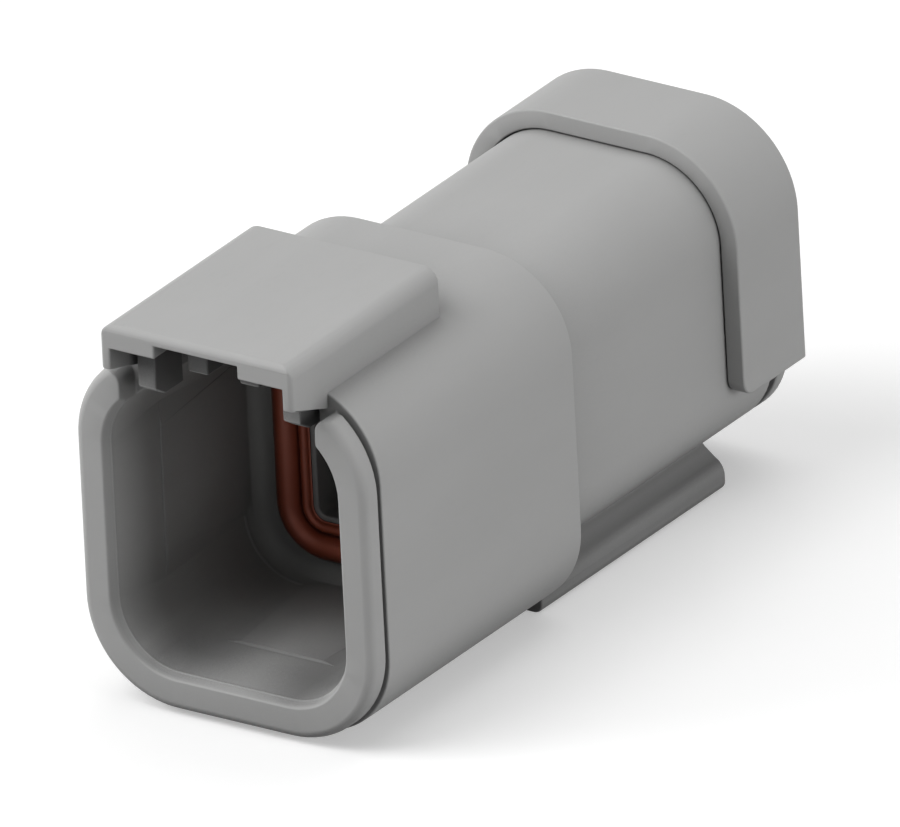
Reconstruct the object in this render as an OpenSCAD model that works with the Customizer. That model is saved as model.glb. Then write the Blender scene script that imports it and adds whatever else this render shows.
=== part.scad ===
// Sealed two-way receptacle for wiring harnesses, with its rear end cap on.
// Frame: the origin is the centre of the mating mouth on the front rim,
// X runs to the right seen from the front, Y runs back to the wires, Z is up.

/* [Shroud] */
// Outer width of the shroud
shroud_w = 21.1; // [20.6:0.1:24]
// Outer height of the shroud
shroud_h = 23.4; // [22.6:0.1:26]
// Outer corner radius of the shroud
shroud_corner_r = 5.9; // [5.6:0.1:6.2]
// Length of the shroud from the front rim to the step
shroud_len = 22.8; // [21:0.1:26]
// Length of the front lip ahead of its groove
lip_len = 1.45; // [1:0.05:1.8]
// Outer corner radius of the lip
lip_corner_r = 6.4; // [6.2:0.1:6.6]
// Radius of the outer front edge of the lip
lip_edge_r = 0.6; // [0.2:0.05:0.8]
// Width of the groove behind the lip
lip_groove_w = 0.35; // [0.2:0.05:0.6]
// Depth of the groove behind the lip
lip_groove_depth = 0.45; // [0.2:0.05:0.6]

/* [Mouth] */
// Width of the mouth at the rim
mouth_w = 16.7; // [15.5:0.1:17]
// Height of the mouth at the rim
mouth_h = 18.8; // [17.6:0.1:19.2]
// Corner radius of the mouth
mouth_corner_r = 4.3; // [3.8:0.1:4.6]
// Depth of the mouth to its floor
mouth_depth = 15.0; // [14.2:0.1:16]
// How far each wall leans in from the rim to the floor
mouth_draft = 0.45; // [0.2:0.05:0.6]
// Width of the lead-in chamfer at the rim
lead_in_w = 0.24; // [0.1:0.02:0.4]
// Length of the lead-in chamfer
lead_in_len = 0.67; // [0.3:0.05:1]
// Radius of the fillet between the walls and the floor
floor_fillet_r = 1.2; // [0.6:0.1:1.6]
// Rise of the guide pads on the walls
pad_rise = 0.14; // [0.08:0.02:0.4]
// Distance from the rim to the front of the pads
pad_start = 5.5; // [4:0.1:8]
// Height of the two side pads
side_pad_h = 10.2; // [6:0.1:10.4]
// Width of the lower pad
lower_pad_w = 7.8; // [5:0.1:8]

/* [Latch box] */
// Width of the latch box
latch_w = 13.95; // [13.4:0.05:14.1]
// How far the latch box reaches ahead of the rim
latch_front = 2.0; // [1:0.05:3]
// Length of the latch box
latch_len = 16.2; // [15.5:0.1:18]
// Height of the top of the latch box above the shroud
latch_rise = 2.75; // [2.4:0.05:3.2]
// Thickness of the roof of the latch box
roof_t = 1.6; // [1.2:0.05:1.8]
// Thickness of the side walls of the latch box
latch_wall = 0.7; // [0.5:0.05:0.9]
// Height of the side walls at their front end
latch_leg_h = 3.0; // [2.6:0.05:3.4]
// How far the lower edge of the side walls falls from the front end to the groove
latch_leg_fall = 1.1; // [0.6:0.05:1.3]
// Radius of the two long top edges of the latch box
latch_side_r = 1.0; // [0.5:0.05:1.3]
// Radius of the top front edge of the latch box
latch_front_r = 0.55; // [0.3:0.05:0.8]
// Radius of the two upright front edges of the latch box
latch_upright_r = 0.35; // [0.2:0.05:0.65]
// Width of the relief in the roof
relief_w = 6.05; // [5.6:0.05:7]
// Depth of the relief in the roof
relief_rise = 0.85; // [0.4:0.05:1]
// End wall of the latch box
latch_end_wall = 1.2; // [0.8:0.1:1.6]
// Width of each catch block
catch_w = 1.3; // [1:0.05:1.6]
// Gap between each catch block and the side wall
catch_gap = 0.36; // [0.2:0.02:0.5]
// Distance from the rim to the catch blocks
catch_start = 0.35; // [0.2:0.05:1]
// Length of each catch block
catch_len = 3.0; // [2:0.1:5]
// How far the front of the catch blocks hangs below the roof
catch_drop = 3.35; // [2.8:0.05:3.4]
// Length of the ramp under each catch block
catch_ramp_len = 1.0; // [0.5:0.1:1.6]
// How far the ramp falls from the front to the back
catch_ramp_fall = 0.65; // [0.2:0.05:0.8]
// Width of each guide rib in the relief
rib_w = 1.45; // [1:0.05:1.7]
// Distance between the centres of the guide ribs
rib_pitch = 3.75; // [3:0.05:3.9]
// How far the guide ribs hang below the roof
rib_drop = 1.9; // [1:0.05:2.2]
// Distance from the rim to the guide ribs
rib_start = 0.95; // [0.5:0.05:1.6]
// Length of the guide ribs
rib_len = 2.2; // [1.5:0.1:8]
// Width of the gap in the lip
window_w = 14.2; // [14.15:0.05:14.6]
// Radius of the lip ends beside the gap
lip_tip_r = 0.85; // [0.4:0.05:0.9]

/* [Body] */
// Width of the body
body_w = 17.1; // [16.8:0.1:18]
// Height of the body
body_h = 19.6; // [19.2:0.1:20.6]
// Corner radius of the body
body_corner_r = 5.0; // [4.6:0.1:5.4]
// Length of the body behind the shroud
body_len = 24.0; // [22.5:0.1:28]
// Wall of the body round the wire seal
rear_wall = 1.25; // [1:0.05:1.5]

/* [Mounting rail] */
// Overall width of the rail
rail_w = 15.05; // [14:0.05:16]
// Width of the rail where it leaves the body
rail_neck_w = 12.3; // [11.5:0.05:12.6]
// Height of the rail below the body
rail_drop = 2.25; // [2:0.05:2.8]
// Length of the rail behind the shroud
rail_len = 19.85; // [16:0.05:20.5]
// Length of the rail under the shroud
rail_lead = 0.3; // [0.2:0.05:1.2]
// Radius of the lower edges of the rail
rail_edge_r = 0.6; // [0.4:0.05:0.8]
// Radius of the flanks of the rail
rail_flank_r = 1.2; // [0.9:0.05:1.4]
// Width of the clip channel under the rail
channel_w = 6.4; // [4:0.1:8]
// Depth of the clip channel
channel_depth = 1.3; // [0.8:0.05:1.6]
// Length of the clip channel from the rear end of the rail
channel_len = 14.5; // [10:0.1:15]
// Width of each undercut beside the channel
channel_undercut = 0.9; // [0.5:0.05:1.2]
// Thickness of the rail lips below the undercuts
channel_lip = 0.6; // [0.4:0.05:0.7]

/* [Contact pocket] */
// Width of the pocket behind the mouth floor
pocket_w = 6.6; // [6.4:0.1:6.8]
// Height of the pocket
pocket_h = 9.2; // [9:0.1:9.4]
// Corner radius of the pocket
pocket_corner_r = 0.55; // [0.4:0.05:0.9]
// Depth of the pocket behind the mouth floor
pocket_depth = 12.0; // [11.4:0.1:12.8]
// Distance between the two contacts
contact_pitch = 5.0; // [4.8:0.05:5.2]
// Bore for the pin of a contact
pin_bore_d = 2.0; // [1.9:0.05:2.3]
// Bore for the barrel of a contact
barrel_bore_d = 3.1; // [3.05:0.05:3.5]
// Thickness of the shoulder that stops a contact
shoulder_t = 1.5; // [1:0.1:2]
// Length of the contact cavities, with the shoulder
web_len = 9.5; // [8.5:0.1:10.5]

/* [Contacts] */
// Diameter of the pin
pin_d = 1.57; // [1.5:0.01:1.7]
// Length of the pin ahead of the collar
pin_len = 11.9; // [10.5:0.1:12.2]
// Diameter of the collar
collar_d = 2.9; // [2.75:0.05:2.95]
// Length of the collar
collar_len = 1.5; // [1:0.1:2]
// Diameter of the neck behind the collar
neck_d = 2.1; // [1.9:0.05:2.3]
// Length of the neck
neck_len = 1.2; // [0.8:0.1:1.6]
// Diameter of the crimp barrel
barrel_d = 2.6; // [2.4:0.05:2.7]
// Length of the crimp barrel
barrel_len = 7.1; // [6.5:0.1:7.3]
// Bore of the crimp barrel
crimp_bore_d = 1.85; // [1.6:0.05:2]
// Depth of the crimp bore
crimp_bore_depth = 6.0; // [5:0.1:6.2]
// Diameter of the sight hole in the barrel
sight_hole_d = 0.8; // [0.5:0.05:1]

/* [Interface seal] */
// Wall between the pocket and the seal
collar_t = 0.4; // [0.3:0.05:0.5]
// Width of the seal band round that wall
seal_band = 2.55; // [2.5:0.05:2.65]
// Depth of the seat in the mouth floor, which the seal fills up to its ridges
seal_seat_depth = 2.0; // [1.6:0.05:2.6]
// Radius of the wide outer ridge
outer_ridge_r = 0.84; // [0.6:0.02:0.86]
// Radius of the narrow inner ridge
inner_ridge_r = 0.32; // [0.2:0.02:0.34]

/* [Secondary lock] */
// Length of the lock in the pocket
lock_len = 4.6; // [4:0.1:5]
// Thickness of the front plate of the lock
lock_plate_t = 1.3; // [1:0.1:1.6]
// Wall of the lock behind its front plate
lock_wall = 0.6; // [0.5:0.05:0.8]
// Hole for a pin in the front plate
lock_hole_d = 2.2; // [2:0.05:2.6]
// Width of the finger slot in the front plate
lock_slot_w = 2.4; // [1.6:0.1:3]
// Height of the finger slot
lock_slot_h = 1.1; // [0.8:0.1:1.4]

/* [Wire seal] */
// Gap between the core of the wire seal and the body
wire_seal_gap = 0.55; // [0.5:0.05:0.7]
// Length of the wire seal
wire_seal_len = 8.8; // [8:0.1:9]
// Distance from the ends of the wire seal to its outer ribs
wire_seal_rib_end = 1.5; // [1:0.1:2.2]
// Number of ribs round the wire seal
wire_seal_ribs = 3; // [2:1:4]
// Bore between the lips in a wire hole
wire_hole_d = 2.2; // [1.8:0.05:2.6]
// Radius of each groove between the lips
lip_groove_r = 0.85; // [0.6:0.05:0.95]
// Bore that takes the rear end of a contact
wire_entry_d = 3.4; // [3:0.05:3.8]
// Depth of that bore
wire_entry_depth = 2.4; // [2:0.1:2.8]

/* [End cap] */
// Wall of the skirt
cap_wall = 1.25; // [1:0.05:1.5]
// Length of the skirt along the body
cap_skirt_len = 6.7; // [5.5:0.1:8]
// How far the skirt reaches below the mouth axis
cap_skirt_drop = 5.1; // [4.2:0.1:5.2]
// Radius of the lower front corners of the skirt
cap_corner_r = 1.0; // [0.4:0.05:1.3]
// Thickness of the rear plate
cap_plate_t = 0.95; // [0.8:0.05:1.4]
// Open groove between the body and the rear plate
cap_groove_w = 0.7; // [0.5:0.05:0.9]
// Length of the plug behind the wire seal
cap_plug_len = 2.0; // [1.6:0.1:2.2]
// Bore for a wire in the rear plate
cap_wire_d = 4.0; // [3.4:0.05:4.3]
// Radius of the snap ribs inside the skirt
snap_r = 0.35; // [0.25:0.05:0.45]
// Length of the snap ribs
snap_len = 6.0; // [4:0.1:7]
// Distance from the rear of the body to the snap ribs
snap_back = 2.8; // [2:0.1:3.4]

/* [Fits] */
// Gap between the skirt and the body
skirt_clear = 0.08; // [0.05:0.01:0.2]
// Gap round pieces that slide into a pocket
slide_clear = 0.12; // [0.08:0.01:0.2]
// Gap between a seal crest and its wall
seal_clear = 0.08; // [0.05:0.01:0.12]

/* [Hidden] */
$fn = 96;
over = 1;
housing_grey = "#8f8f8f";
silicone_red = "#8e3a26";
lock_grey = "#4c4d4a";
contact_nickel = "#c9c5b8";
shroud_top = shroud_h / 2;
body_end = shroud_len + body_len;
floor_y = mouth_depth;
pocket_end_y = floor_y + pocket_depth;
collar_w = pocket_w + 2 * collar_t;
collar_h = pocket_h + 2 * collar_t;
collar_r = pocket_corner_r + collar_t;
shoulder_y = pocket_end_y + shoulder_t;
web_end_y = pocket_end_y + web_len;
lip_end_y = lip_len + lip_groove_w;
latch_top_z = shroud_top + latch_rise;
roof_z = latch_top_z - roof_t;
slot_w = latch_w - 2 * latch_wall;
slot_end_y = latch_len - latch_front - latch_end_wall;
contact_z = [contact_pitch / 2, -contact_pitch / 2];
cap_plate_y = body_end + cap_groove_w;
rear_pocket_w = body_w - 2 * rear_wall;
rear_pocket_h = body_h - 2 * rear_wall;
rear_pocket_r = body_corner_r - rear_wall;
skirt_inner_w = body_w + 2 * skirt_clear;
skirt_inner_h = body_h + 2 * skirt_clear;
skirt_inner_r = body_corner_r + skirt_clear;
snap_y = body_end - snap_back;
// Centre of the round lip end beside the gap: its circle just crosses the corner arc
tip_x = window_w / 2 + lip_tip_r;
tip_from_arc = lip_corner_r - 0.95 * lip_tip_r;
tip_run = tip_x - shroud_w / 2 + lip_corner_r;
tip_rise = sqrt(pow(tip_from_arc, 2) - pow(tip_run, 2));
tip_z = shroud_top - lip_corner_r + tip_rise;

// Rounded rectangle, centred, as flats and true corner circles
module round_rect(w, h, r) {
    square([w - 2 * r, h], center = true);
    square([w, h - 2 * r], center = true);
    for (sx = [-1, 1], sz = [-1, 1])
        translate([sx * (w / 2 - r), sz * (h / 2 - r)])
            circle(r = r);
}

// Extrudes a front-view outline from y0 back by len
module along_y(y0, len) {
    translate([0, y0 + len, 0])
        rotate([90, 0, 0])
            linear_extrude(height = len)
                children();
}

// Extrudes a side-view outline (back, up) from x0 to the right by len
module along_x(x0, len) {
    translate([x0, 0, 0])
        rotate([90, 0, 90])
            linear_extrude(height = len)
                children();
}

// Straight block with a rounded-rectangle section
module round_block(y0, len, w, h, r) {
    along_y(y0, len)
        round_rect(w, h, r);
}

// Rounded block whose walls lean in by lean over its length
module leaning_block(y0, len, w, h, r, lean) {
    cx = w / 2 - r;
    cz = h / 2 - r;
    translate([0, y0, 0]) {
        for (sx = [-1, 1], sz = [-1, 1])
            translate([sx * cx, 0, sz * cz])
                rotate([-90, 0, 0])
                    cylinder(h = len, r1 = r, r2 = r - lean);
        translate([0, 0, -cz])
            linear_extrude(height = 2 * cz)
                polygon([[-w / 2, 0], [w / 2, 0], [w / 2 - lean, len], [lean - w / 2, len]]);
        along_x(-cx, 2 * cx)
            polygon([[0, -h / 2], [0, h / 2], [len, h / 2 - lean], [len, lean - h / 2]]);
    }
}

// One straight run of a swept profile, on the right-hand side
module sweep_side(reach, half_len) {
    translate([0, 0, -half_len])
        linear_extrude(height = 2 * half_len)
            translate([reach, 0])
                children();
}

// Sweeps a profile (outwards, back) round a rounded rectangle
module sweep_round(w, h, r) {
    cx = w / 2 - r;
    cz = h / 2 - r;
    for (sx = [0, 1]) {
        mirror([sx, 0, 0])
            sweep_side(w / 2, cz) children();
        mirror([0, 0, sx])
            mirror([1, 0, -1])
                sweep_side(h / 2, cx) children();
        for (sz = [0, 1])
            mirror([sx, 0, 0])
                mirror([0, 0, sz])
                    translate([cx, 0, -cz])
                        rotate([-90, 0, 0])
                            rotate_extrude(angle = 90)
                                translate([r, 0])
                                    children();
    }
}

// Cylinder that runs back from y0
module bore(y0, len, d) {
    translate([0, y0, 0])
        rotate([-90, 0, 0])
            cylinder(h = len, d = d);
}

// Repeats its children at each contact position
module at_contacts() {
    for (z = contact_z)
        translate([0, 0, z])
            children();
}

// Right half of the gap in the lip
module lip_gap_half() {
    reach = 3 * lip_tip_r / tip_from_arc;
    difference() {
        polygon([[0, tip_z / 2], [window_w / 2, tip_z / 2], [window_w / 2, tip_z], [tip_x, tip_z],
                 [tip_x + reach * tip_run, tip_z + reach * tip_rise], [0, latch_top_z]]);
        translate([tip_x, tip_z])
            circle(r = lip_tip_r);
    }
}

// Gap in the lip through which the latch of the plug passes
module lip_gap() {
    along_y(-over, lip_end_y + over) {
        lip_gap_half();
        mirror([1, 0])
            lip_gap_half();
    }
}

// Rounds the outer front edge of the lip
module lip_edge_round() {
    sweep_round(shroud_w, shroud_h, lip_corner_r)
        difference() {
            translate([-lip_edge_r, -over])
                square([lip_edge_r + over, lip_edge_r + over]);
            translate([-lip_edge_r, lip_edge_r])
                circle(r = lip_edge_r);
        }
}

// Mating mouth with its lead-in
module mouth_cut() {
    leaning_block(0, floor_y, mouth_w, mouth_h, mouth_corner_r, mouth_draft);
    leaning_block(-lead_in_len, 2 * lead_in_len, mouth_w + 4 * lead_in_w, mouth_h + 4 * lead_in_w,
                  mouth_corner_r + 2 * lead_in_w, 2 * lead_in_w);
}

// Fillet that joins the mouth walls to the floor
module floor_fillet() {
    lean_in = 2 * mouth_draft;
    sweep_round(mouth_w - lean_in, mouth_h - lean_in, mouth_corner_r - mouth_draft)
        difference() {
            translate([-floor_fillet_r, floor_y - floor_fillet_r])
                square([floor_fillet_r + mouth_draft / 2, floor_fillet_r + over]);
            translate([-floor_fillet_r, floor_y - floor_fillet_r])
                circle(r = floor_fillet_r);
        }
}

// Low pads on the side and lower walls that guide the plug
module guide_pads() {
    lean_at_pad = mouth_draft * pad_start / mouth_depth;
    lean_left = mouth_draft - lean_at_pad;
    side_x = mouth_w / 2 - lean_at_pad;
    lower_z = mouth_h / 2 - lean_at_pad;
    for (side = [0, 1])
        mirror([side, 0, 0])
            translate([0, 0, -side_pad_h / 2])
                linear_extrude(height = side_pad_h)
                    polygon([[side_x + pad_rise, pad_start], [side_x - pad_rise, pad_start],
                             [side_x - pad_rise - lean_left, floor_y], [side_x + pad_rise, floor_y]]);
    along_x(-lower_pad_w / 2, lower_pad_w)
        polygon([[pad_start, -lower_z - pad_rise], [pad_start, pad_rise - lower_z],
                 [floor_y, pad_rise + lean_left - lower_z], [floor_y, -lower_z - pad_rise]]);
}

// Groove all round behind the lip
module lip_groove() {
    difference() {
        round_block(lip_len, lip_groove_w, shroud_w + over, shroud_h + over, lip_corner_r);
        round_block(lip_len - over, lip_groove_w + 2 * over, shroud_w - 2 * lip_groove_depth,
                    shroud_h - 2 * lip_groove_depth, lip_corner_r - lip_groove_depth);
    }
}

// Front shell: the mouth, the lip with its groove and the gap for the latch
module shroud() {
    difference() {
        union() {
            difference() {
                union() {
                    round_block(0, lip_end_y + over, shroud_w, shroud_h, lip_corner_r);
                    round_block(lip_end_y, shroud_len - lip_end_y, shroud_w, shroud_h, shroud_corner_r);
                }
                mouth_cut();
            }
            floor_fillet();
        }
        lip_groove();
        lip_edge_round();
        lip_gap();
        translate([-slot_w / 2, lip_end_y - over / 2, mouth_h / 2 - mouth_corner_r + over])
            cube([slot_w, slot_end_y - lip_end_y + over / 2, mouth_h]);
    }
}

// Latch box outline seen from the front
module latch_outline() {
    low = latch_top_z - latch_leg_h - latch_leg_fall;
    translate([-latch_w / 2, low])
        square([latch_w, latch_top_z - low - latch_side_r]);
    translate([latch_side_r - latch_w / 2, low])
        square([latch_w - 2 * latch_side_r, latch_top_z - low]);
    for (side = [-1, 1])
        translate([side * (latch_w / 2 - latch_side_r), latch_top_z - latch_side_r])
            circle(r = latch_side_r);
}

// Latch box outline seen from the side, with its falling lower edge
module latch_profile() {
    front_low = latch_top_z - latch_leg_h;
    low = front_low - latch_leg_fall;
    end_y = latch_len - latch_front;
    polygon([[-latch_front, front_low], [lip_end_y, low], [end_y, low], [end_y, latch_top_z],
             [latch_front_r - latch_front, latch_top_z],
             [-latch_front, latch_top_z - latch_front_r]]);
    translate([latch_front_r - latch_front, latch_top_z - latch_front_r])
        circle(r = latch_front_r);
}

// Latch box outline seen from above, with its two round front corners
module latch_plan() {
    end_y = latch_len - latch_front;
    translate([-latch_w / 2, latch_upright_r - latch_front])
        square([latch_w, end_y + latch_front - latch_upright_r]);
    translate([latch_upright_r - latch_w / 2, -latch_front])
        square([latch_w - 2 * latch_upright_r, end_y + latch_front]);
    for (side = [-1, 1])
        translate([side * (latch_w / 2 - latch_upright_r), latch_upright_r - latch_front])
            circle(r = latch_upright_r);
}

// Bridge over the gap, under which the latch of the plug slides
module latch_box() {
    low = latch_top_z - latch_leg_h - latch_leg_fall - over;
    difference() {
        intersection() {
            along_y(-latch_front, latch_len)
                latch_outline();
            along_x(-latch_w / 2, latch_w)
                latch_profile();
            translate([0, 0, low])
                linear_extrude(height = latch_top_z - low)
                    latch_plan();
        }
        translate([-slot_w / 2, -latch_front - over, low])
            cube([slot_w, slot_end_y + latch_front + over, roof_z - low]);
        translate([-relief_w / 2, -latch_front - over, low])
            cube([relief_w, slot_end_y + latch_front + over, roof_z + relief_rise - low]);
    }
}

// Blocks behind which the latch of the plug hooks, and the ribs that guide it
module latch_catches() {
    catch_low = roof_z - catch_drop;
    rib_low = roof_z - rib_drop;
    rib_high = roof_z + relief_rise + roof_t / 4;
    for (side = [0, 1])
        mirror([side, 0, 0]) {
            translate([0, catch_start, 0])
                along_x(slot_w / 2 - catch_gap - catch_w, catch_w)
                    polygon([[0, catch_low], [0, roof_z + roof_t / 2],
                             [catch_len, roof_z + roof_t / 2], [catch_len, catch_low - catch_ramp_fall],
                             [catch_ramp_len, catch_low - catch_ramp_fall]]);
            translate([(rib_pitch - rib_w) / 2, rib_start, 0])
                along_x(0, rib_w)
                    polygon([[0, rib_low], [0, rib_high], [rib_len + rib_drop, rib_high],
                             [rib_len + rib_drop, roof_z], [rib_len, rib_low]]);
        }
}

// Rail outline seen from the front, right half: a flank that runs out from the body
// to a round shoulder, then a small round lower edge
module rail_half() {
    bottom = -body_h / 2 - rail_drop;
    neck = [rail_neck_w / 2, -body_h / 2 + 0.18 * rail_drop];
    shoulder = [rail_w / 2 - rail_flank_r, bottom + rail_edge_r + rail_flank_r / 3];
    to_shoulder = shoulder - neck;
    angle = atan2(to_shoulder[1], to_shoulder[0]) + asin(rail_flank_r / norm(to_shoulder));
    landing = shoulder + 0.98 * rail_flank_r * [cos(angle + 90), sin(angle + 90)];
    edge = [rail_w / 2 - rail_edge_r, bottom + rail_edge_r];
    root_z = neck[1] + rail_drop / 4;
    polygon([[0, root_z], [neck[0] - rail_drop / 4, root_z], neck, landing,
             shoulder, [rail_w / 2, shoulder[1]], [rail_w / 2, edge[1]], edge, [edge[0], bottom],
             [0, bottom]]);
    intersection() {
        translate(shoulder)
            circle(r = rail_flank_r);
        translate([0, edge[1]])
            square([rail_w, rail_drop + rail_w]);
    }
    translate(edge)
        circle(r = rail_edge_r);
}

// Foot that slides into a mounting clip, with the channel for its tongue
module mounting_rail() {
    bottom = -body_h / 2 - rail_drop;
    end_y = shroud_len + rail_len;
    difference() {
        along_y(shroud_len - rail_lead, rail_len + rail_lead) {
            rail_half();
            mirror([1, 0])
                rail_half();
        }
        translate([-channel_w / 2, end_y - channel_len, bottom - over])
            cube([channel_w, channel_len + over, channel_depth + over]);
        translate([-channel_w / 2 - channel_undercut, end_y - channel_len, bottom + channel_lip])
            cube([channel_w + 2 * channel_undercut, channel_len + over, channel_depth - channel_lip]);
    }
}

// Everything cut out of the body: seal seat, pocket, contact cavities and rear pocket
module inner_cuts() {
    seat_w = collar_w + 2 * seal_band + 2 * seal_clear;
    seat_h = collar_h + 2 * seal_band + 2 * seal_clear;
    seat_r = collar_r + seal_band + seal_clear;
    difference() {
        round_block(floor_y - over, seal_seat_depth + over, seat_w, seat_h, seat_r);
        round_block(floor_y, seal_seat_depth + over, collar_w, collar_h, collar_r);
    }
    round_block(floor_y - over, pocket_depth + over, pocket_w, pocket_h, pocket_corner_r);
    at_contacts() {
        bore(pocket_end_y - over, web_len + 2 * over, pin_bore_d);
        bore(shoulder_y, web_end_y - shoulder_y + over, barrel_bore_d);
    }
    round_block(web_end_y, body_end - web_end_y + over, rear_pocket_w, rear_pocket_h, rear_pocket_r);
}

// Grooves in the sides of the body for the snap ribs of the cap
module snap_grooves() {
    for (side = [-1, 1])
        translate([side * skirt_inner_w / 2, snap_y, -snap_len / 2 - slide_clear])
            cylinder(h = snap_len + 2 * slide_clear, r = snap_r + skirt_clear);
}

// The one-piece moulding
module receptacle_housing() {
    color(housing_grey)
        difference() {
            union() {
                shroud();
                latch_box();
                latch_catches();
                guide_pads();
                round_block(shroud_len - over, body_len + over, body_w, body_h, body_corner_r);
                mounting_rail();
            }
            inner_cuts();
            snap_grooves();
        }
}

// Silicone ring with two ridges that seals the nose of the plug
module interface_seal() {
    outer_x = -seal_clear - outer_ridge_r;
    inner_x = inner_ridge_r + seal_clear - seal_band;
    color(silicone_red)
        sweep_round(collar_w + 2 * seal_band, collar_h + 2 * seal_band, collar_r + seal_band) {
            translate([-seal_band, floor_y])
                square([seal_band, seal_seat_depth]);
            translate([outer_x, floor_y])
                circle(r = outer_ridge_r);
            translate([inner_x, floor_y])
                circle(r = inner_ridge_r);
        }
}

// Wedge in the pocket that keeps the contacts from backing out
module secondary_lock() {
    w = pocket_w - 2 * slide_clear;
    h = pocket_h - 2 * slide_clear;
    r = pocket_corner_r - slide_clear;
    front_y = pocket_end_y - lock_len;
    color(lock_grey)
        difference() {
            round_block(front_y, lock_len, w, h, r);
            difference() {
                round_block(front_y + lock_plate_t, lock_len, w - 2 * lock_wall, h - 2 * lock_wall,
                            r / 2);
                translate([-w / 2, front_y, -lock_wall / 2])
                    cube([w, lock_len + over, lock_wall]);
            }
            at_contacts()
                bore(front_y - over, lock_len, lock_hole_d);
            translate([-lock_slot_w / 2, front_y - over, -lock_slot_h / 2])
                cube([lock_slot_w, over + lock_plate_t / 2, lock_slot_h]);
        }
}

// Turned pin contact: round nose, pin, collar, neck and crimp barrel
module pin_contact() {
    collar_end = collar_len;
    neck_end = collar_end + neck_len;
    rear = neck_end + barrel_len;
    nose_r = pin_d / 2;
    chamfer = (collar_d - neck_d) / 4;
    color(contact_nickel)
        translate([0, shoulder_y, 0])
            difference() {
                rotate([-90, 0, 0])
                    rotate_extrude() {
                        intersection() {
                            translate([0, nose_r - pin_len])
                                circle(r = nose_r);
                            translate([0, -pin_len])
                                square([nose_r, 2 * nose_r]);
                        }
                        polygon([[0, nose_r - pin_len], [nose_r, nose_r - pin_len], [nose_r, 0],
                                 [collar_d / 2 - chamfer, 0], [collar_d / 2, chamfer],
                                 [collar_d / 2, collar_end - chamfer],
                                 [collar_d / 2 - chamfer, collar_end], [neck_d / 2, collar_end],
                                 [neck_d / 2, neck_end], [barrel_d / 2, neck_end],
                                 [barrel_d / 2, rear], [0, rear]]);
                    }
                bore(rear - crimp_bore_depth, crimp_bore_depth + over, crimp_bore_d);
                translate([0, rear - crimp_bore_depth + sight_hole_d, 0])
                    rotate([0, 90, 0])
                        cylinder(h = barrel_d, d = sight_hole_d);
            }
}

module upper_contact() {
    translate([0, 0, contact_z[0]])
        pin_contact();
}

module lower_contact() {
    translate([0, 0, contact_z[1]])
        pin_contact();
}

// Wire hole: entry for the barrel, then grooves that leave round lips between them
module wire_hole() {
    lips_from = web_end_y + wire_entry_depth;
    lips_to = web_end_y + wire_seal_len;
    step = (lips_to - lips_from) / 3;
    bore(web_end_y - over, wire_entry_depth + over, wire_entry_d);
    rotate([-90, 0, 0])
        rotate_extrude() {
            translate([0, lips_from - over])
                square([wire_hole_d / 2, lips_to - lips_from + 2 * over]);
            for (i = [0.5, 1.5, 2.5])
                translate([wire_hole_d / 2, lips_from + i * step])
                    intersection() {
                        circle(r = lip_groove_r);
                        translate([-wire_hole_d / 4, -lip_groove_r])
                            square([lip_groove_r + wire_hole_d, 2 * lip_groove_r]);
                    }
        }
}

// Ribbed silicone block that seals the wires
module wire_seal() {
    core_w = rear_pocket_w - 2 * wire_seal_gap;
    core_h = rear_pocket_h - 2 * wire_seal_gap;
    core_r = rear_pocket_r - wire_seal_gap;
    rib_r = wire_seal_gap - seal_clear;
    first = web_end_y + wire_seal_rib_end;
    step = (wire_seal_len - 2 * wire_seal_rib_end) / (wire_seal_ribs - 1);
    color(silicone_red)
        difference() {
            union() {
                round_block(web_end_y, wire_seal_len, core_w, core_h, core_r);
                for (i = [0 : wire_seal_ribs - 1])
                    sweep_round(core_w, core_h, core_r)
                        translate([0, first + i * step])
                            circle(r = rib_r);
            }
            at_contacts()
                wire_hole();
        }
}

// Side outline of the skirt: square above, round at the lower front corner
module skirt_side() {
    front_y = cap_plate_y + cap_plate_t - cap_skirt_len;
    top = shroud_h;
    translate([front_y, cap_corner_r - cap_skirt_drop])
        square([cap_skirt_len, top]);
    translate([front_y + cap_corner_r, -cap_skirt_drop])
        square([cap_skirt_len - cap_corner_r, top]);
    translate([front_y + cap_corner_r, cap_corner_r - cap_skirt_drop])
        circle(r = cap_corner_r);
}

// Skirt that clasps the body from above
module cap_skirt() {
    w = skirt_inner_w + 2 * cap_wall;
    h = skirt_inner_h + 2 * cap_wall;
    front_y = cap_plate_y + cap_plate_t - cap_skirt_len;
    intersection() {
        difference() {
            round_block(front_y, cap_skirt_len, w, h, skirt_inner_r + cap_wall);
            round_block(front_y - over, cap_skirt_len - cap_plate_t + over, skirt_inner_w,
                        skirt_inner_h, skirt_inner_r);
        }
        along_x(-w, 2 * w)
            skirt_side();
    }
}

// End cap: rear plate, skirt, plug behind the wire seal and snap ribs
module rear_end_cap() {
    color(housing_grey)
        difference() {
            union() {
                cap_skirt();
                round_block(cap_plate_y, cap_plate_t, body_w, body_h, body_corner_r);
                round_block(cap_plate_y - cap_plug_len, cap_plug_len + cap_plate_t / 2,
                            rear_pocket_w - 2 * slide_clear, rear_pocket_h - 2 * slide_clear,
                            rear_pocket_r - slide_clear);
                for (side = [-1, 1])
                    translate([side * skirt_inner_w / 2, snap_y, -snap_len / 2])
                        cylinder(h = snap_len, r = snap_r);
            }
            at_contacts()
                bore(cap_plate_y - cap_plug_len - over, cap_plug_len + cap_plate_t + 2 * over,
                     cap_wire_d);
        }
}

receptacle_housing();
interface_seal();
secondary_lock();
upper_contact();
lower_contact();
wire_seal();
rear_end_cap();
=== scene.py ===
"""Dresses the sealed two-way receptacle: moulded edges, finishes, light and camera."""

import logging
import math
from dataclasses import dataclass, field
from enum import Enum
from typing import Sequence

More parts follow.
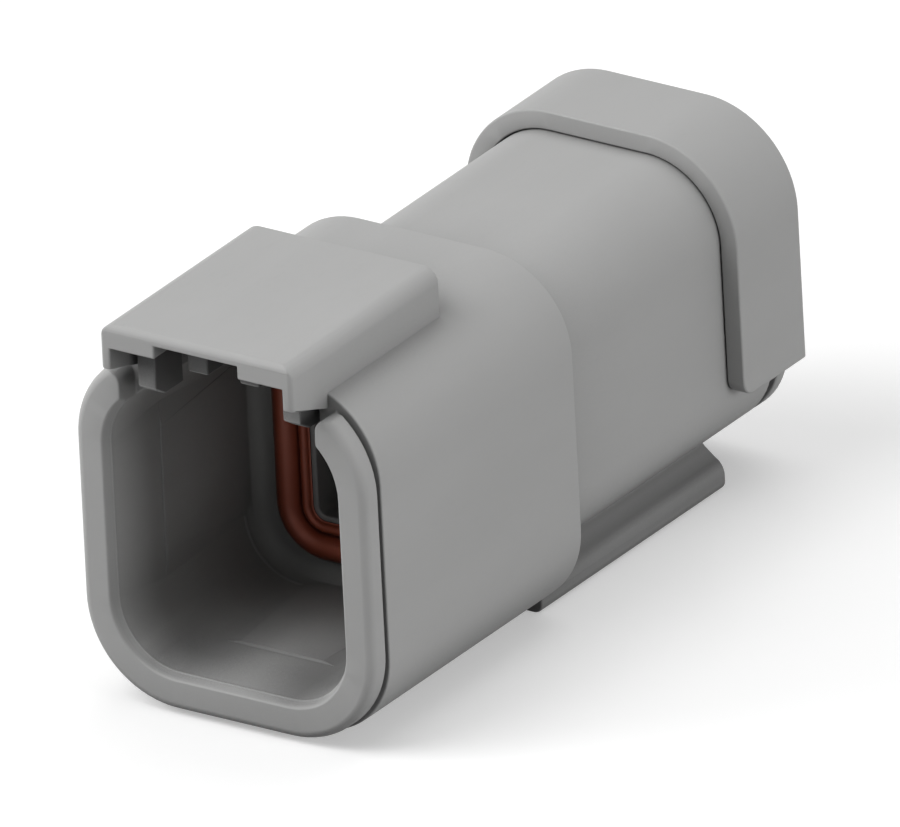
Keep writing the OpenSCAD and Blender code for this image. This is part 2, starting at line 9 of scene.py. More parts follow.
import bpy
from mathutils import Matrix, Vector
from mathutils.bvhtree import BVHTree


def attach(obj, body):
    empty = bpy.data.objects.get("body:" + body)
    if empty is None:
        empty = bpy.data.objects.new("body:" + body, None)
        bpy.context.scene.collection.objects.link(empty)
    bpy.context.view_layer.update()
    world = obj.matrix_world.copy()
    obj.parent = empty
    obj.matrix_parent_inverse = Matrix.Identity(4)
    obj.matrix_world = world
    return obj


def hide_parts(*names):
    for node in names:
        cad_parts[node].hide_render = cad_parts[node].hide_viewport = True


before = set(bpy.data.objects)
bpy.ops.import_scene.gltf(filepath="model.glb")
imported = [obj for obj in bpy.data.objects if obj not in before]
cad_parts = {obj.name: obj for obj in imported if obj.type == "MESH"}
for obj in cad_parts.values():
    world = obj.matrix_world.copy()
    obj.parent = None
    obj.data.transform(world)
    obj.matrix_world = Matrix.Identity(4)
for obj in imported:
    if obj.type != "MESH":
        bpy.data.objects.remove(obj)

LOG = logging.getLogger("receptacle")
MM = 0.001
Colour = tuple[float, float, float]
Point = tuple[float, float, float]
Span = tuple[float, float]
Piece = bpy.types.Object
Tree = bpy.types.NodeTree
Socket = bpy.types.NodeSocket
Value = Socket | float


class Slot(Enum):
    """Material slots of the connector's pieces."""

    HOUSING = "housing_plastic"
    SILICONE = "silicone"
    LOCK = "lock_plastic"
    METAL = "contact_metal"


class Ramp(Enum):
    """How a value rises between the two ends of its span."""

    STRAIGHT = "LINEAR"
    SMOOTH = "SMOOTHSTEP"


class Arithmetic(Enum):
    """What an arithmetic node does with its values."""

    PRODUCT = "MULTIPLY"
    LARGER = "MAXIMUM"
    MAGNITUDE = "ABSOLUTE"


class EdgeChoice(Enum):
    """Which edges get a radius: all that turn sharply, or only those that carry a mark."""

    SHARP = "ANGLE"
    MARKED = "WEIGHT"


def corners(piece: Piece) -> tuple[Vector, Vector]:
    """Measures the box of a piece's own mesh.

    Args:
        piece: piece to measure.

    Returns:
        The lowest and the highest corner.
    """
    spans = list(zip(*(vertex.co for vertex in piece.data.vertices)))
    return Vector(min(span) for span in spans), Vector(max(span) for span in spans)


def pick_only(piece: Piece) -> None:
    """Selects one piece and nothing else.

    Args:
        piece: the object that the next operator acts on.
    """
    bpy.ops.object.select_all(action="DESELECT")
    piece.select_set(True)
    bpy.context.view_layer.objects.active = piece


def new_group(name: str, inputs: Sequence[tuple[str, str, float]],
              outputs: Sequence[tuple[str, str]]) -> Tree:
    """Makes an empty shader node group with named sockets.

    Args:
        name: name of the group.
        inputs: socket name, socket type and default value of each input.
        outputs: socket name and socket type of each output.

    Returns:
        The node group, with one input and one output node in it.
    """
    tree = bpy.data.node_groups.new(name, "ShaderNodeTree")
    for label, kind, value in inputs:
        socket = tree.interface.new_socket(label, in_out="INPUT", socket_type=kind)
        if kind == "NodeSocketFloat":
            socket.default_value = value
    for label, kind in outputs:
        tree.interface.new_socket(label, in_out="OUTPUT", socket_type=kind)
    tree.nodes.new("NodeGroupInput").name = "in"
    tree.nodes.new("NodeGroupOutput").name = "out"
    return tree


def feed(tree: Tree, given: Value, socket: Socket) -> None:
    """Links a socket to an input, or sets the input to a plain number.

    Args:
        tree: tree that the input is in.
        given: socket or number that the input gets.
        socket: the input.
    """
    if isinstance(given, float):
        socket.default_value = given
    else:
        tree.links.new(given, socket)


def computed(tree: Tree, arithmetic: Arithmetic, *given: Value) -> Socket:
    """Adds an arithmetic node.

    Args:
        tree: tree that the node goes in.
        arithmetic: what the node does.
        *given: sockets or numbers that it acts on.

    Returns:
        The result's socket.
    """
    node = tree.nodes.new("ShaderNodeMath")
    node.operation = arithmetic.value
    for value, socket in zip(given, node.inputs):
        feed(tree, value, socket)
    return node.outputs["Value"]


def times(tree: Tree, first: Value, second: Value) -> Socket:
    """Multiplies two values."""
    return computed(tree, Arithmetic.PRODUCT, first, second)


def spread(tree: Tree, value: Socket, low: float, high: float, result: Span = (0.0, 1.0),
           ramp: Ramp = Ramp.STRAIGHT) -> Socket:
    """Maps a span of values to another one, and holds it beyond the ends.

    Args:
        tree: tree that the node goes in.
        value: value to map.
        low: value that becomes the first of the result.
        high: value that becomes the second of the result.
        result: the mapped value at the two ends.
        ramp: how it rises in between.

    Returns:
        The mapped value's socket.
    """
    node = tree.nodes.new("ShaderNodeMapRange")
    node.interpolation_type = ramp.value
    for name, end in zip(("From Min", "From Max", "To Min", "To Max"), (low, high, *result)):
        node.inputs[name].default_value = end
    tree.links.new(value, node.inputs["Value"])
    return node.outputs["Result"]


def mixed(tree: Tree, factor: Socket, first: Value, second: Value) -> Socket:
    """Mixes two values.

    Args:
        tree: tree that the node goes in.
        factor: share of the second value.
        first: socket or number at 0.
        second: socket or number at 1.

    Returns:
        The mixed value's socket.
    """
    node = tree.nodes.new("ShaderNodeMix")
    node.data_type = "FLOAT"
    for given, name in ((factor, "Factor"), (first, "A"), (second, "B")):
        feed(tree, given, node.inputs[name])
    return node.outputs["Result"]


@dataclass(frozen=True)
class NoiseLayer:
    """A layer of noise on the surface, and the span of its value that shows."""

    scale_per_m: float
    octaves: float
    fine_weight: float = 0.5
    shown: Span | None = None

    def lay(self, tree: Tree, vector: Socket) -> Socket:
        """Adds the layer to a tree.

        Args:
            tree: tree that the nodes go in.
            vector: coordinates that it reads, in metres.

        Returns:
            The socket of its value, from 0 to 1 where a span shows.
        """
        node = tree.nodes.new("ShaderNodeTexNoise")
        node.inputs["Scale"].default_value = self.scale_per_m
        node.inputs["Detail"].default_value = self.octaves
        node.inputs["Roughness"].default_value = self.fine_weight
        tree.links.new(vector, node.inputs["Vector"])
        value = node.outputs["Fac"]
        return value if self.shown is None else spread(tree, value, *self.shown)


# The patterns of the surface: grains and rings to a metre, and the layers of noise over them.
GRAIN_PER_M = 4200.0
GRAIN_LEVEL = 0.5
RIPPLE = NoiseLayer(700.0, 3.0)
FLOW_STRETCH = (1.0, 0.3, 1.0)
CLOUD = NoiseLayer(170.0, 4.0, shown=(0.32, 0.68))
SCUFF = NoiseLayer(2600.0, 2.0, fine_weight=0.7, shown=(0.58, 0.75))
RINGS_PER_M = 1900.0
RING_WANDER = 1.5
STAIN = NoiseLayer(900.0, 3.0, shown=(0.4, 0.7))


def moulded_skin_group() -> Tree:
    """Makes the skin of a moulded surface: spark-eroded grain, flow clouds and small scuffs.

    Returns:
        A group that gives Height, Cloud and Scuff from coordinates in metres.
    """
    tree = new_group(
        "moulded_skin",
        [("Vector", "NodeSocketVector", 0.0), ("Grain Scale", "NodeSocketFloat", GRAIN_PER_M)],
        [(name, "NodeSocketFloat") for name in ("Height", "Cloud", "Scuff")])
    vector = tree.nodes["in"].outputs["Vector"]
    grain = tree.nodes.new("ShaderNodeTexVoronoi")
    grain.feature = "SMOOTH_F1"
    tree.links.new(vector, grain.inputs["Vector"])
    tree.links.new(tree.nodes["in"].outputs["Grain Scale"], grain.inputs["Scale"])
    height = mixed(tree, RIPPLE.lay(tree, vector), grain.outputs["Distance"], GRAIN_LEVEL)
    stretch = tree.nodes.new("ShaderNodeMapping")
    stretch.inputs["Scale"].default_value = FLOW_STRETCH
    tree.links.new(vector, stretch.inputs["Vector"])
    flow = stretch.outputs["Vector"]
    for socket, name in ((height, "Height"), (CLOUD.lay(tree, flow), "Cloud"),
                         (SCUFF.lay(tree, flow), "Scuff")):
        tree.links.new(socket, tree.nodes["out"].inputs[name])
    return tree


def turned_skin_group() -> Tree:
    """Makes the skin of a turned pin: fine rings round its axis and a little stain.

    Returns:
        A group that gives Height and Stain from coordinates in metres.
    """
    tree = new_group("turned_skin", [("Vector", "NodeSocketVector", 0.0)],
                     [(name, "NodeSocketFloat") for name in ("Height", "Stain")])
    vector = tree.nodes["in"].outputs["Vector"]
    rings = tree.nodes.new("ShaderNodeTexWave")
    rings.wave_type = "BANDS"
    rings.bands_direction = "Y"
    rings.inputs["Scale"].default_value = RINGS_PER_M
    rings.inputs["Distortion"].default_value = RING_WANDER
    tree.links.new(vector, rings.inputs["Vector"])
    tree.links.new(rings.outputs["Fac"], tree.nodes["out"].inputs["Height"])
    tree.links.new(STAIN.lay(tree, vector), tree.nodes["out"].inputs["Stain"])
    return tree


@dataclass(frozen=True)
class PaintedShadeZone:
    """A stretch of the object whose hollows get painted shade, a little darker than others, in
    metres.

    It rises and falls along Y between the four values of along_y, sets in towards the middle
    between the two values of within_x, and downwards between the two values of below_z. It
    paints shade only on spots as closed in as hollow_span says, by depth at most.
    """

    along_y: tuple[float, float, float, float]
    within_x: Span
    below_z: Span
    depth: float
    hollow_span: Span = (0.97, 0.8)

    def shade(self, tree: Tree, openness: Socket) -> Socket:
        """Gives the factor by which the zone's painted shade darkens a colour.

        Args:
            tree: tree of the material.
            openness: how much of its surroundings a spot sees.

        Returns:
            The factor's socket.
        """
        place = tree.nodes.new("ShaderNodeTexCoord")
        axes = tree.nodes.new("ShaderNodeSeparateXYZ")
        tree.links.new(place.outputs["Object"], axes.inputs["Vector"])
        aside = computed(tree, Arithmetic.MAGNITUDE, axes.outputs["X"])
        start, full, fade, end = self.along_y
        level = times(tree, spread(tree, axes.outputs["Y"], start, full),
                      spread(tree, axes.outputs["Y"], end, fade))
        for value, span in ((aside, self.within_x), (axes.outputs["Z"], self.below_z),
                            (openness, self.hollow_span)):
            level = times(tree, level, spread(tree, value, *span))
        return mixed(tree, level, 1.0, 1.0 - self.depth)


@dataclass(frozen=True)
class Finish:
    """A shader with constants of its own and a skin that varies over the surface. With a shade
    tone below 1, it also paints shade into the base colour in corners and hollows, in its zones
    and beside the piece's own steps.
    """

    name: str
    base: Colour
    deep: Colour
    roughness: Span
    specular: float
    bump: float
    metallic: float = 0.0
    grain_scale: float = GRAIN_PER_M
    # painted shade in corners and hollows: its darkest tone, its reach, the span of openness it
    # spreads over, and its rays
    painted_shade_tone: float = 1.0
    painted_shade_reach: float = 9.0 * MM
    painted_shade_span: Span = (0.12, 0.72)
    painted_shade_rays: int = 8
    # painted shade beside the piece's own steps: its darkest tone and the openness where it
    # starts
    step_shade_tone: float = 1.0
    step_shade_floor: float = 0.75
    # zones of painted shade
    painted_shade_zones: tuple[PaintedShadeZone, ...] = ()

    def place_skin(self, tree: Tree, skin: Tree) -> bpy.types.Node:
        """Places a skin group that reads the object's own coordinates.

        Args:
            tree: tree of the material.
            skin: group to place.

        Returns:
            The group node.
        """
        place = tree.nodes.new("ShaderNodeTexCoord")
        node = tree.nodes.new("ShaderNodeGroup")
        node.node_tree = skin
        tree.links.new(place.outputs["Object"], node.inputs["Vector"])
        if "Grain Scale" in node.inputs:
            node.inputs["Grain Scale"].default_value = self.grain_scale
        return node

    def tint(self, tree: Tree, factor: Socket) -> Socket:
        """Mixes the two tones of the finish.

        Args:
            tree: tree of the material.
            factor: share of the lighter tone.

        Returns:
            The colour's socket.
        """
        node = tree.nodes.new("ShaderNodeMix")
        node.data_type = "RGBA"
        node.inputs["A"].default_value = (*self.deep, 1.0)
        node.inputs["B"].default_value = (*self.base, 1.0)
        tree.links.new(factor, node.inputs["Factor"])
        return node.outputs["Result"]

    def openness(self, tree: Tree, own_only: bool) -> Socket:
        """Measures how much of its surroundings a spot sees.

        Args:
            tree: tree of the material.
            own_only: whether only the spot's own piece can close it in.

        Returns:
            The socket of the open share.
        """
        node = tree.nodes.new("ShaderNodeAmbientOcclusion")
        node.samples = self.painted_shade_rays
        node.only_local = own_only
        node.inputs["Distance"].default_value = self.painted_shade_reach
        return node.outputs["AO"]

    def paint_recess_shade(self, tree: Tree, colour: Socket) -> Socket:
        """Paints shade into a colour in corners and hollows, where less light reaches.

        Args:
            tree: tree of the material.
            colour: colour of the open surface.

        Returns:
            The colour's socket.
        """
        # painted shade: the base colour darkens where a spot sees little of its surroundings
        near = self.openness(tree, own_only=False)
        shade = mixed(tree, spread(tree, near, *self.painted_shade_span), self.painted_shade_tone, 1.0)
        # painted shade of the zones
        for zone in self.painted_shade_zones:
            shade = times(tree, shade, zone.shade(tree, near))
        # painted shade beside the piece's own steps
        if self.step_shade_tone < 1.0:
            shade = times(tree, shade, self.paint_step_shade(tree))
        node = tree.nodes.new("ShaderNodeVectorMath")
        node.operation = "SCALE"
        tree.links.new(colour, node.inputs["Vector"])
        tree.links.new(shade, node.inputs["Scale"])
        return node.outputs["Vector"]

    def paint_step_shade(self, tree: Tree) -> Socket:
        """Gives the faint painted shade that darkens the colour beside a piece's own steps, where
        their shadow falls.

        Args:
            tree: tree of the material.

        Returns:
            The factor's socket.
        """
        beside = self.openness(tree, own_only=True)
        return mixed(tree, spread(tree, beside, self.step_shade_floor, 1.0), self.step_shade_tone, 1.0)

    def make(self, skin: Tree, tone: str, gloss: str) -> bpy.types.Material:
        """Makes the material.

        Args:
            skin: skin group that the material uses.
            tone: output of the skin that mixes the two tones.
            gloss: output of the skin that mixes the two roughness values.

        Returns:
            The finished material.
        """
        material = bpy.data.materials.new(self.name)
        material.use_nodes = True
        tree = material.node_tree
        shader = tree.nodes["Principled BSDF"]
        shader.inputs["Metallic"].default_value = self.metallic
        shader.inputs["Specular IOR Level"].default_value = self.specular
        node = self.place_skin(tree, skin)
        rough = mixed(tree, node.outputs[gloss], *self.roughness)
        relief = tree.nodes.new("ShaderNodeBump")
        relief.inputs["Strength"].default_value = 1.0
        relief.inputs["Distance"].default_value = self.bump
        tree.links.new(node.outputs["Height"], relief.inputs["Height"])
        tree.links.new(relief.outputs["Normal"], shader.inputs["Normal"])
        tone_colour = self.tint(tree, node.outputs[tone])
        # painted shade in corners and hollows goes into the base colour
        if self.painted_shade_tone < 1.0:
            tone_colour = self.paint_recess_shade(tree, tone_colour)
        tree.links.new(tone_colour, shader.inputs["Base Color"])
        tree.links.new(rough, shader.inputs["Roughness"])
        return material


# Painted shade darkens the hollows at the front of the mouth, in the slot under the latch box
# and along the rail, where the part shows darkest.
MOUTH_SHADE_ZONE = PaintedShadeZone(along_y=(0.02 * MM, 0.3 * MM, 3.5 * MM, 9.0 * MM),
                     within_x=(7.0 * MM, 6.0 * MM), below_z=(14.0 * MM, 13.5 * MM),
                     depth=0.35, hollow_span=(1.01, 0.92))
SLOT_SHADE_ZONE = PaintedShadeZone(along_y=(0.1 * MM, 0.3 * MM, 6.0 * MM, 9.0 * MM),
                    within_x=(6.3 * MM, 6.0 * MM), below_z=(8.6 * MM, 9.0 * MM), depth=0.35)
RAIL_SHADE_ZONE = PaintedShadeZone(along_y=(22.0 * MM, 22.5 * MM, 44.0 * MM, 46.0 * MM),
                    within_x=(12.0 * MM, 11.0 * MM), below_z=(-9.6 * MM, -10.2 * MM), depth=0.42)
# the grey plastic's colour carries painted shade in hollows, in the three zones and beside its
# own steps
GREY_PLASTIC = Finish("grey_moulded_plastic", base=(0.425, 0.425, 0.422),
                      deep=(0.405, 0.405, 0.402), roughness=(0.62, 0.74), specular=0.32,
                      bump=0.004 * MM, painted_shade_tone=0.48, step_shade_tone=0.7,
                      painted_shade_zones=(MOUTH_SHADE_ZONE, SLOT_SHADE_ZONE, RAIL_SHADE_ZONE))
# painted shade darkens the silicone's colour strongly in its hollows
RED_SILICONE = Finish("red_silicone", base=(0.42, 0.095, 0.048), deep=(0.36, 0.075, 0.036),
                      roughness=(0.4, 0.52), specular=0.35, bump=0.005 * MM,
                      grain_scale=2600.0, painted_shade_tone=0.1)
LOCK_PLASTIC = Finish("dark_lock_plastic", base=(0.13, 0.135, 0.125), deep=(0.115, 0.12, 0.11),
                      roughness=(0.4, 0.5), specular=0.5, bump=0.004 * MM)
NICKEL = Finish("nickel_plate", base=(0.74, 0.72, 0.68), deep=(0.66, 0.63, 0.58),
                roughness=(0.22, 0.34), specular=0.5, bump=0.0015 * MM, metallic=1.0)


class Wardrobe:
    """The materials of the slots."""

    def __init__(self) -> None:
        """Makes the skin groups once and one material for each slot."""
        moulded = moulded_skin_group()
        turned = turned_skin_group()
        self.materials: dict[Slot, bpy.types.Material] = {
            Slot.HOUSING: GREY_PLASTIC.make(moulded, "Cloud", "Scuff"),
            Slot.SILICONE: RED_SILICONE.make(moulded, "Cloud", "Scuff"),
            Slot.LOCK: LOCK_PLASTIC.make(moulded, "Cloud", "Scuff"),
            Slot.METAL: NICKEL.make(turned, "Stain", "Stain"),
        }

    def dress(self, piece: Piece, slot: Slot) -> None:
        """Gives a piece the material of its slot.

        Args:
            piece: piece to dress.
            slot: slot that it takes its finish from.
        """
        piece.data.materials.clear()
        piece.data.materials.append(self.materials[slot])


@dataclass
class SoftEdgedSolid:
    """A CAD solid whose sharp edges get the small radius that a mould or a tool leaves."""

    node: str
    name: str
    slot: Slot
    edge_r: float = 0.12 * MM
    segments: int = 3
    sharp_deg: float = 32.0
    weld: float = 0.002 * MM
    stray_share: float = 0.42
    smooth_deg: float = 40.0
    face_weight: int = 80
    edges: EdgeChoice = EdgeChoice.SHARP

    def copy_node(self) -> Piece:
        """Copies the CAD node's mesh to a new object and welds its loose triangles.

        Returns:
            The welded copy.
        """
        piece = bpy.data.objects.new(self.name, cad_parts[self.node].data.copy())
        bpy.context.scene.collection.objects.link(piece)
        pick_only(piece)
        if piece.data.has_custom_normals:
            bpy.ops.mesh.customdata_custom_splitnormals_clear()
        bpy.ops.object.mode_set(mode="EDIT")
        bpy.ops.mesh.select_all(action="SELECT")
        bpy.ops.mesh.remove_doubles(threshold=self.weld)
        bpy.ops.object.mode_set(mode="OBJECT")
        return piece

    def shape(self, piece: Piece) -> None:
        """Leaves the shape as it is; a piece with finer forms of its own adds them here."""

    def round_edges(self, piece: Piece) -> None:
        """Rounds the edges that the solid's edge choice takes.

        Args:
            piece: welded copy of the solid.
        """
        pick_only(piece)
        bevel = piece.modifiers.new("edge_round", "BEVEL")
        bevel.width = self.edge_r
        bevel.segments = self.segments
        bevel.limit_method = self.edges.value
        bevel.angle_limit = math.radians(self.sharp_deg)
        bevel.use_clamp_overlap = False
        bevel.loop_slide = False
        bpy.ops.object.modifier_apply(modifier=bevel.name)

    def even_shade(self, piece: Piece) -> None:
        """Smooths the shading over all but the sharpest edges and weights it by face size.

        Args:
            piece: piece with rounded edges.
        """
        pick_only(piece)
        bpy.ops.object.shade_smooth_by_angle(angle=math.radians(self.smooth_deg))
        even = piece.modifiers.new("even_shade", "WEIGHTED_NORMAL")
        even.keep_sharp = True
        even.weight = self.face_weight
        bpy.ops.object.modifier_apply(modifier=even.name)

    def settle(self, piece: Piece, shell: BVHTree) -> None:
        """Draws stray corners of the rounded mesh back to the surface of the solid.

        A bevel throws such corners where an edge is made of runs shorter than its width.

        Args:
            piece: piece with rounded edges.
            shell: surface of the solid before its edges were rounded.
        """
        low, high = corners(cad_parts[self.node])
        reach = self.stray_share * self.edge_r
        for vertex in piece.data.vertices:
            spot, _, _, gap = shell.find_nearest(vertex.co)
            if gap > reach:
                vertex.co = spot
            vertex.co = Vector(min(max(v, a), b) for v, a, b in zip(vertex.co, low, high))

    def build(self, wardrobe: Wardrobe) -> Piece:
        """Builds, dresses and places the piece.

        Args:
            wardrobe: materials of the slots.

        Returns:
            The piece that stands for the CAD node.
        """
        piece = self.copy_node()
        self.shape(piece)
        shell = BVHTree.FromPolygons([v.co.copy() for v in piece.data.vertices],
                                     [tuple(p.vertices) for p in piece.data.polygons])
        self.round_edges(piece)
        self.settle(piece, shell)
        self.even_shade(piece)
        wardrobe.dress(piece, self.slot)
        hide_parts(self.node)
        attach(piece, "root")
        LOG.info("%s: %d faces", self.name, len(piece.data.polygons))
        return piece


@dataclass
class HousingMoulding(SoftEdgedSolid):
    """The housing, whose guide pads fade into the walls of the mouth.

    Each pad's sizes are given at its front and rear end, because the mouth has draft. A band
    is how far the pad's outline reaches outward from its face at the rear end.
    """

    node: str = "receptacle_housing"
    name: str = "housing_moulding"
    slot: Slot = Slot.HOUSING
    edges: EdgeChoice = EdgeChoice.MARKED
    pad_ends: Span = (5.5 * MM, 14.322 * MM)
    side_pad_x: Span = (8.045 * MM, 7.78 * MM)
    side_pad_z: float = 5.1 * MM
    side_band: float = 0.4 * MM
    lower_pad_x: float = 3.9 * MM
    lower_pad_z: Span = (-9.095 * MM, -8.83 * MM)
    lower_band: float = 0.28 * MM
    lower_wall_z: float = -9.235 * MM
    feather: float = 0.9 * MM
    front_ramp: float = 0.11 * MM
    valley_x: float = 6.975 * MM
    valley_z: Span = (9.0 * MM, 12.5 * MM)
    reach: float = 0.02 * MM

    def shape(self, piece: Piece) -> None:
        """Makes the pads' steps ramps and marks the edges that are to be rounded.

        Args:
            piece: welded copy of the housing.
        """
        self.feather_pads(piece)
        self.mark_edges(piece)

    def feather_pads(self, piece: Piece) -> None:
        """Draws the corners of each pad's face inward, so that its steps become ramps.

        Args:
            piece: welded copy of the housing.
        """
        backward = (self.front_ramp, 0.0)
        for end, back, side_x, lower_z in zip(self.pad_ends, backward, self.side_pad_x,
                                              self.lower_pad_z):
            for vertex in piece.data.vertices:
                x, y, z = vertex.co
                if abs(y - end) > self.reach:
                    continue
                if self.meets(abs(x), side_x) and self.meets(abs(z), self.side_pad_z):
                    vertex.co.z = math.copysign(self.side_pad_z - self.feather, z)
                    vertex.co.y += back
                elif self.meets(abs(x), self.lower_pad_x) and self.meets(z, lower_z):
                    vertex.co.x = math.copysign(self.lower_pad_x - self.feather, x)
                    vertex.co.y += back

    def meets(self, value: float, wanted: float) -> bool:
        """Tells whether two lengths agree within the reach."""
        return abs(value - wanted) < self.reach

    def on_pad(self, spot: Vector) -> bool:
        """Tells whether a spot is on a guide pad.

        Args:
            spot: a corner of the welded copy.

        Returns:
            True if it is on one of the three pads or on its outline.
        """
        front, rear = self.pad_ends
        out = abs(spot.x) - self.side_pad_x[1]
        beside = -self.reach < out < self.side_band and abs(spot.z) < self.side_pad_z + self.reach
        down = self.lower_pad_z[1] - spot.z
        at_height = -2.0 * self.reach < down < self.lower_band
        below = (abs(spot.x) < self.lower_pad_x + self.reach
                 and (at_height or self.meets(spot.z, self.lower_wall_z)))
        return front - self.reach < spot.y < rear + self.reach and (beside or below)

    def in_valley(self, spot: Vector) -> bool:
        """Tells whether a spot is on the line where the latch box's side meets the shroud."""
        low, high = self.valley_z
        return self.meets(abs(spot.x), self.valley_x) and low < spot.z < high and spot.y > 0.0

    def mark_edges(self, piece: Piece) -> None:
        """Gives full bevel weight to the sharp edges, apart from the pads' and the valleys'.

        Args:
            piece: welded copy of the housing.
        """
        pick_only(piece)
        bpy.ops.object.mode_set(mode="EDIT")
        bpy.ops.mesh.select_mode(type="EDGE")
        bpy.ops.mesh.select_all(action="DESELECT")
        bpy.ops.mesh.edges_select_sharp(sharpness=math.radians(self.sharp_deg))
        bpy.ops.object.mode_set(mode="OBJECT")
        weights = piece.data.attributes.new("bevel_weight_edge", "FLOAT", "EDGE")
        for edge in piece.data.edges:
            ends = [piece.data.vertices[i].co for i in edge.vertices]
            crisp = all(map(self.on_pad, ends)) or all(map(self.in_valley, ends))
            weights.data[edge.index].value = float(edge.select and not crisp)


@dataclass
class EndCap(SoftEdgedSolid):
    """The rear cap, which clasps the body with its skirt."""

    node: str = "rear_end_cap"
    name: str = "end_cap_moulding"
    slot: Slot = Slot.HOUSING


@dataclass
class RingSeal(SoftEdgedSolid):
    """The ring seal at the bottom of the mouth, with softly rounded ridges."""

    node: str = "interface_seal"
    name: str = "interface_seal_ring"
    slot: Slot = Slot.SILICONE
    edge_r: float = 0.1 * MM


@dataclass
class LockWedge(SoftEdgedSolid):
    """The wedge in the pocket that keeps the contacts in."""

    node: str = "secondary_lock"
    name: str = "secondary_lock_wedge"
    slot: Slot = Slot.LOCK
    edge_r: float = 0.1 * MM


@dataclass
class ContactPin(SoftEdgedSolid):
    """A turned pin contact, with the small edge radius of its barrel."""

    slot: Slot = Slot.METAL
    edge_r: float = 0.06 * MM


@dataclass
class WireSeal(SoftEdgedSolid):
    """The ribbed block that seals round the wires."""

    node: str = "wire_seal"
    name: str = "wire_seal_block"
    slot: Slot = Slot.SILICONE
    edge_r: float = 0.08 * MM


@dataclass
class Receptacle:
    """The whole connector, as its refined solids."""

    solids: list[SoftEdgedSolid] = field(default_factory=lambda: [
        HousingMoulding(), EndCap(), RingSeal(), LockWedge(),
        ContactPin("upper_contact", "upper_contact_pin"),
        ContactPin("lower_contact", "lower_contact_pin"), WireSeal()])

    def build(self, wardrobe: Wardrobe) -> list[Piece]:
        """Builds every solid of the connector.

        Args:
            wardrobe: materials of the slots.

        Returns:
            The pieces, in the order of the solids.
        """
        return [solid.build(wardrobe) for solid in self.solids]


@dataclass(frozen=True)
class SoftLamp:
    """A square soft lamp: its name, place in metres, side in metres and power in watts."""

    name: str
    place: Point
    size: float
    watts: float


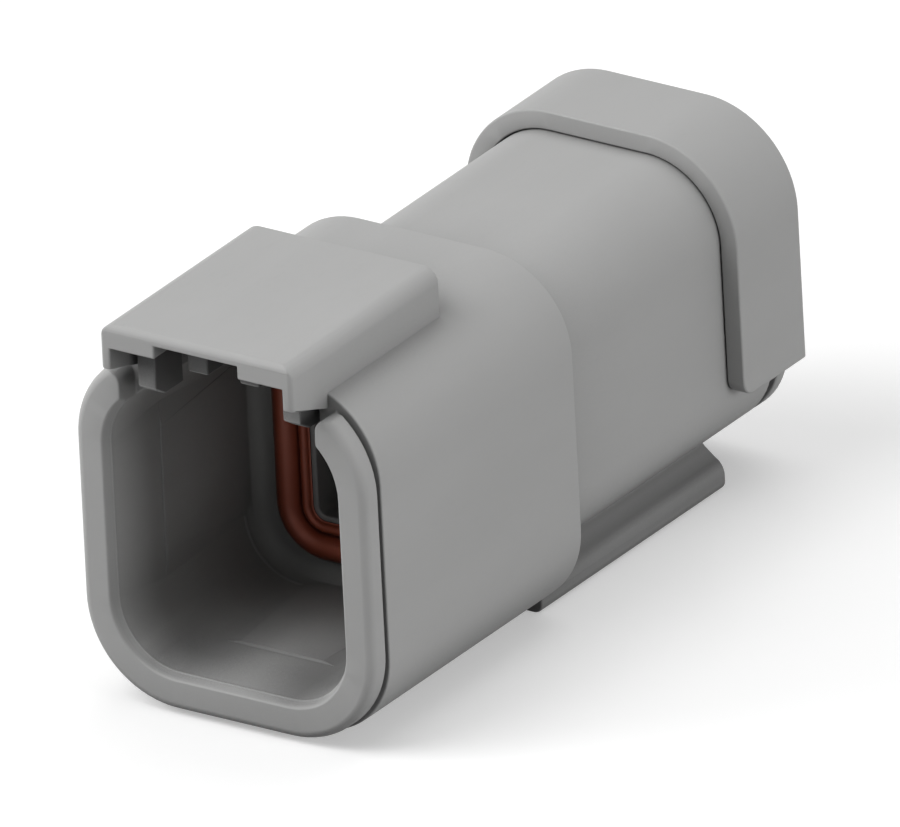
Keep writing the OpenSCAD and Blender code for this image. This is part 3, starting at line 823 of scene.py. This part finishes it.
@dataclass
class Studio:
    """Pale floor, soft lamps and the parallel camera of the photograph.

    The photograph's middle is given along the camera's right and up, in units of the photograph
    from the middle of the mouth, and unit is the length of one of them in metres.
    """

    floor_z: float = -12.06 * MM
    floor_size: float = 3.0
    floor_grey: float = 0.8
    floor_bounce: float = 0.3
    floor_lift: float = 0.345
    world_low: float = 0.05
    world_high: float = 0.32
    flag_span: Span = (-0.9, -0.3)
    camera_right: Point = (0.8319, 0.5530, -0.0471)
    camera_up: Point = (-0.1988, 0.3761, 0.9050)
    camera_back: Point = (0.5182, -0.7435, 0.4228)
    unit: float = 0.0605 * MM
    photo_middle: Span = (226.3, 136.1)
    view_width: float = 54.45 * MM
    camera_gap: float = 0.3
    clip: Span = (0.005, 10.0)
    lamp_aim: Point = (0.0, 0.02, 0.0)
    lamps: tuple[SoftLamp, ...] = (
        SoftLamp("high_lamp", (-0.18, -0.24, 0.42), 0.32, 1.23),
        SoftLamp("low_lamp", (-0.36, -0.205, 0.15), 0.32, 1.14),
        SoftLamp("side_lamp", (0.42, 0.0, 0.08), 0.22, 0.85),
        SoftLamp("rear_lamp", (0.0, 0.22, 0.45), 0.40, 0.66),
    )

    def seen_by_eye(self, tree: Tree) -> Socket:
        """Adds a mask of camera, glossy and transmission rays.

        Args:
            tree: tree of the floor or the world.

        Returns:
            The mask's socket.
        """
        rays = tree.nodes.new("ShaderNodeLightPath")
        mask = rays.outputs["Is Camera Ray"]
        for name in ("Is Glossy Ray", "Is Transmission Ray"):
            mask = computed(tree, Arithmetic.LARGER, mask, rays.outputs[name])
        return mask

    def lay_floor(self) -> None:
        """Lays the pale floor that the connector stands on."""
        bpy.ops.object.select_all(action="DESELECT")
        bpy.ops.mesh.primitive_plane_add(size=self.floor_size, location=(0.0, 0.0, self.floor_z))
        floor = bpy.context.object
        floor.name = "floor"
        material = bpy.data.materials.new("pale_floor")
        material.use_nodes = True
        tree = material.node_tree
        tree.nodes.clear()
        eye = self.seen_by_eye(tree)
        matt = tree.nodes.new("ShaderNodeBsdfDiffuse")
        tree.links.new(mixed(tree, eye, self.floor_bounce, self.floor_grey), matt.inputs["Color"])
        glow = tree.nodes.new("ShaderNodeEmission")
        both = tree.nodes.new("ShaderNodeAddShader")
        out = tree.nodes.new("ShaderNodeOutputMaterial")
        tree.links.new(times(tree, eye, self.floor_lift), glow.inputs["Strength"])
        tree.links.new(matt.outputs["BSDF"], both.inputs[0])
        tree.links.new(glow.outputs["Emission"], both.inputs[1])
        tree.links.new(both.outputs["Shader"], out.inputs["Surface"])
        floor.data.materials.append(material)

    def light_world(self) -> None:
        """Lights the object from a dome that is dark ahead of the mouth; the eye sees white."""
        world = bpy.data.worlds.new("studio_world")
        world.use_nodes = True
        tree = world.node_tree
        sky = tree.nodes["Background"]
        sky.inputs["Color"].default_value = (1.0, 1.0, 1.0, 1.0)
        place = tree.nodes.new("ShaderNodeTexCoord")
        part = tree.nodes.new("ShaderNodeSeparateXYZ")
        tree.links.new(place.outputs["Generated"], part.inputs["Vector"])
        dome = spread(tree, part.outputs["Z"], 0.0, 1.0, (self.world_low, self.world_high))
        flag = spread(tree, part.outputs["Y"], *self.flag_span, ramp=Ramp.SMOOTH)
        level = mixed(tree, self.seen_by_eye(tree), times(tree, dome, flag), 1.0)
        tree.links.new(level, sky.inputs["Strength"])
        bpy.context.scene.world = world

    def hang_lamp(self, lamp: SoftLamp) -> None:
        """Hangs a square soft lamp that faces the middle of the connector.

        Args:
            lamp: the lamp's name, place, size and power.
        """
        light = bpy.data.lights.new(lamp.name, "AREA")
        light.shape = "SQUARE"
        light.size = lamp.size
        light.energy = lamp.watts
        hung = bpy.data.objects.new(lamp.name, light)
        bpy.context.scene.collection.objects.link(hung)
        aim = Vector(self.lamp_aim) - Vector(lamp.place)
        hung.matrix_world = (Matrix.Translation(lamp.place)
                             @ aim.to_track_quat("-Z", "Y").to_matrix().to_4x4())

    def place_camera(self) -> None:
        """Places the parallel camera at the photograph's angle and framing."""
        right, up, back = map(Vector, (self.camera_right, self.camera_up, self.camera_back))
        camera = bpy.data.cameras.new("camera")
        camera.type = "ORTHO"
        camera.ortho_scale = self.view_width
        camera.clip_start, camera.clip_end = self.clip
        eye = bpy.data.objects.new("camera", camera)
        bpy.context.scene.collection.objects.link(eye)
        aside, above = self.photo_middle
        centre = (aside * right + above * up) * self.unit
        turn = Matrix((right, up, back)).transposed().to_4x4()
        eye.matrix_world = Matrix.Translation(centre + self.camera_gap * back) @ turn
        bpy.context.scene.camera = eye

    def build(self) -> None:
        """Sets up the floor, the light and the camera."""
        self.lay_floor()
        self.light_world()
        for lamp in self.lamps:
            self.hang_lamp(lamp)
        self.place_camera()
        bpy.context.scene.view_settings.view_transform = "Standard"


def main() -> None:
    """Builds the connector and its studio."""
    logging.basicConfig(level=logging.INFO, format="%(name)s: %(message)s")
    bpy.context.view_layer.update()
    Studio().build()
    pieces = Receptacle().build(Wardrobe())
    LOG.info("%d pieces", len(pieces))


if __name__ == "__main__":
    main()
